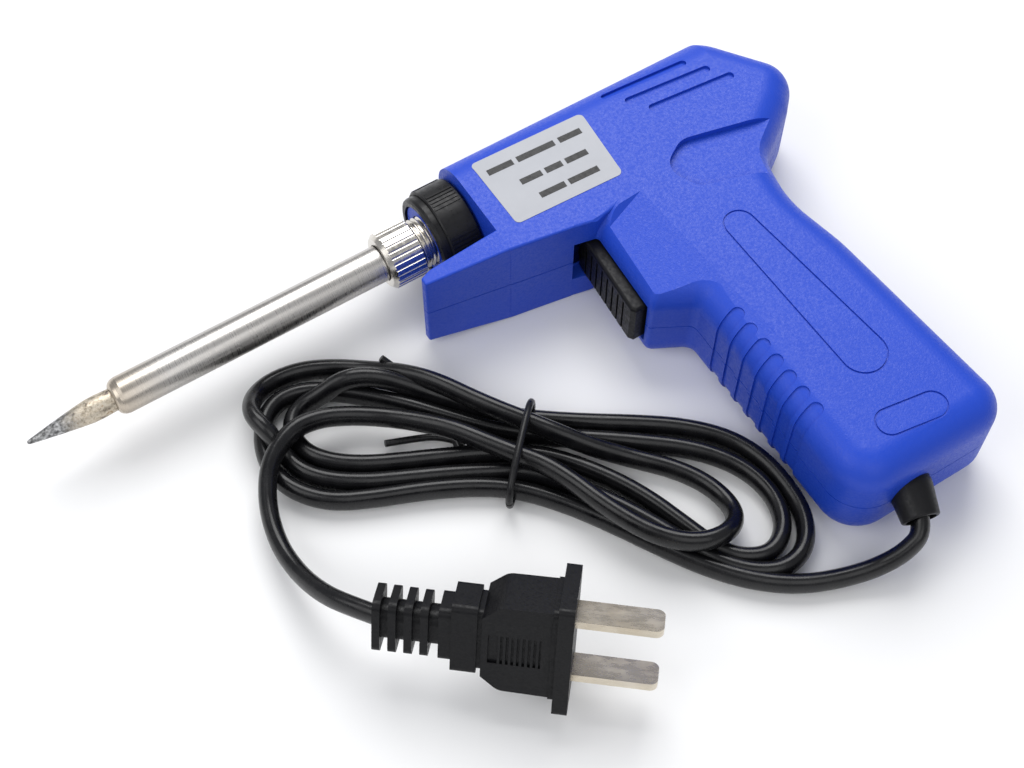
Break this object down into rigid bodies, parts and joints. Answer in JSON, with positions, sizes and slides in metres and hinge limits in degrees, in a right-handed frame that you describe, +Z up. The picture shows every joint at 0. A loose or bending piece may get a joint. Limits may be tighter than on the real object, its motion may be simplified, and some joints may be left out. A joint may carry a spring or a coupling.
{
  "type": "soldering iron",
  "caption": "Pistol-grip soldering iron with a straight barrel, conical tip, squeeze trigger for more heat, and a mains cord tied in a hank with its plug.",
  "frame": {"origin": "on the rest face (the flat right side of the housing), under the point where the grip's centre plane meets the barrel axis", "axes": "+X back along the barrel axis, away from the tip; +Y up the gun, away from the grip's end; +Z up, across the gun from the right side it lies on to the left side with the label"},
  "size_m": [0.1772, 0.122, 0.0289],
  "materials": {
    "housing_blue": "fine spark-eroded grain, moulded ABS",
    "ring_black": "satin moulded nylon",
    "trigger_black": "fine grain moulded",
    "label_grey": "silver grey vinyl sticker",
    "nickel": "bright nickel plate",
    "tube_steel": "satin stainless, turned",
    "tip_plated": "iron plated copper, heat stained, tinned end",
    "ceramic_white": "unglazed ceramic",
    "heater_wire": "oxidised resistance wire",
    "mica": "mica sheet",
    "lead_sleeve": "glass fibre sleeving",
    "spring_steel": "bright spring steel",
    "screw_steel": "zinc plated",
    "switch_black": "moulded",
    "plunger_red": "moulded",
    "brass_plain": "plain brass",
    "wire_brown": "PVC core insulation",
    "wire_blue": "PVC core insulation",
    "cord_rubber": "soft satin rubber",
    "cord_sheath": "smooth satin PVC sheath",
    "clamp_fibre": "pressed fibre",
    "tie_black": "plastic covered wire",
    "plug_black": "fine grain moulded PVC",
    "blade_nickel": "nickel plated brass"
  },
  "bodies": {
    "gun": {"left_housing": "housing_blue", "right_housing": "housing_blue", "housing_screws": "screw_steel", "rating_label": "label_grey", "threaded_collar": "nickel", "heater_core": "ceramic_white", "heater_winding": "heater_wire", "mica_sleeve": "mica", "ceramic_bush": "ceramic_white", "heater_leads": "lead_sleeve", "trigger_spring": "spring_steel", "switch_body": "switch_black", "lever_pin": "screw_steel", "terminal_block": "ceramic_white", "terminal_screws": "brass_plain", "power_diode": "switch_black", "live_wire": "wire_brown", "neutral_wire": "wire_blue", "switch_link_wire": "wire_brown", "cord_boot": "cord_rubber", "cord_inner": "cord_sheath", "cord_clamp": "clamp_fibre", "clamp_screws": "screw_steel", "cord_tail": "cord_sheath", "cord_lead": "cord_sheath", "cord_tie": "tie_black", "cord_hank": "cord_sheath", "plug_boot": "plug_black", "plug_body": "plug_black", "plug_blades": "blade_nickel"},
    "lock_ring": {"lock_ring": "ring_black"},
    "barrel": {"barrel_tube": "tube_steel", "soldering_tip": "tip_plated"},
    "nut": {"barrel_nut": "nickel"},
    "trigger": {"trigger": "trigger_black"},
    "lever": {"switch_lever": "spring_steel"},
    "plunger": {"switch_plunger": "plunger_red"}
  },
  "joints": [
    {"name": "trigger_slide", "type": "slide", "parent": "gun", "child": "trigger", "axis": [1, 0, 0], "range_m": [0, 0.004], "stiffness_N_per_m": 150, "springref_m": -0.006, "deforming": ["trigger_spring"]},
    {"name": "lever_turn", "type": "hinge", "parent": "gun", "child": "lever", "pos_m": [-0.0084, -0.0402, 0.013], "axis": [0, 0, -1], "range_deg": [0, 16]},
    {"name": "plunger_slide", "type": "slide", "parent": "gun", "child": "plunger", "axis": [1, 0, 0], "range_m": [0, 0.0013]},
    {"name": "ring_turn", "type": "hinge", "parent": "gun", "child": "lock_ring", "pos_m": [-0.048, 0, 0.013], "axis": [1, 0, 0], "range_deg": [0, 90]},
    {"name": "barrel_slide", "type": "slide", "parent": "gun", "child": "barrel", "axis": [-1, 0, 0], "range_m": [0, 0.005]},
    {"name": "nut_turn", "type": "hinge", "parent": "barrel", "child": "nut", "pos_m": [-0.059, 0, 0.013], "axis": [-1, 0, 0], "range_deg": [0, 1800]}
  ],
  "couplings": [
    {"joint": "lever_turn", "follows": "trigger_slide", "rad_per_m": 69.813},
    {"joint": "plunger_slide", "follows": "trigger_slide", "ratio": 0.325},
    {"joint": "nut_turn", "follows": "barrel_slide", "rad_per_m": 6283.2}
  ]
}
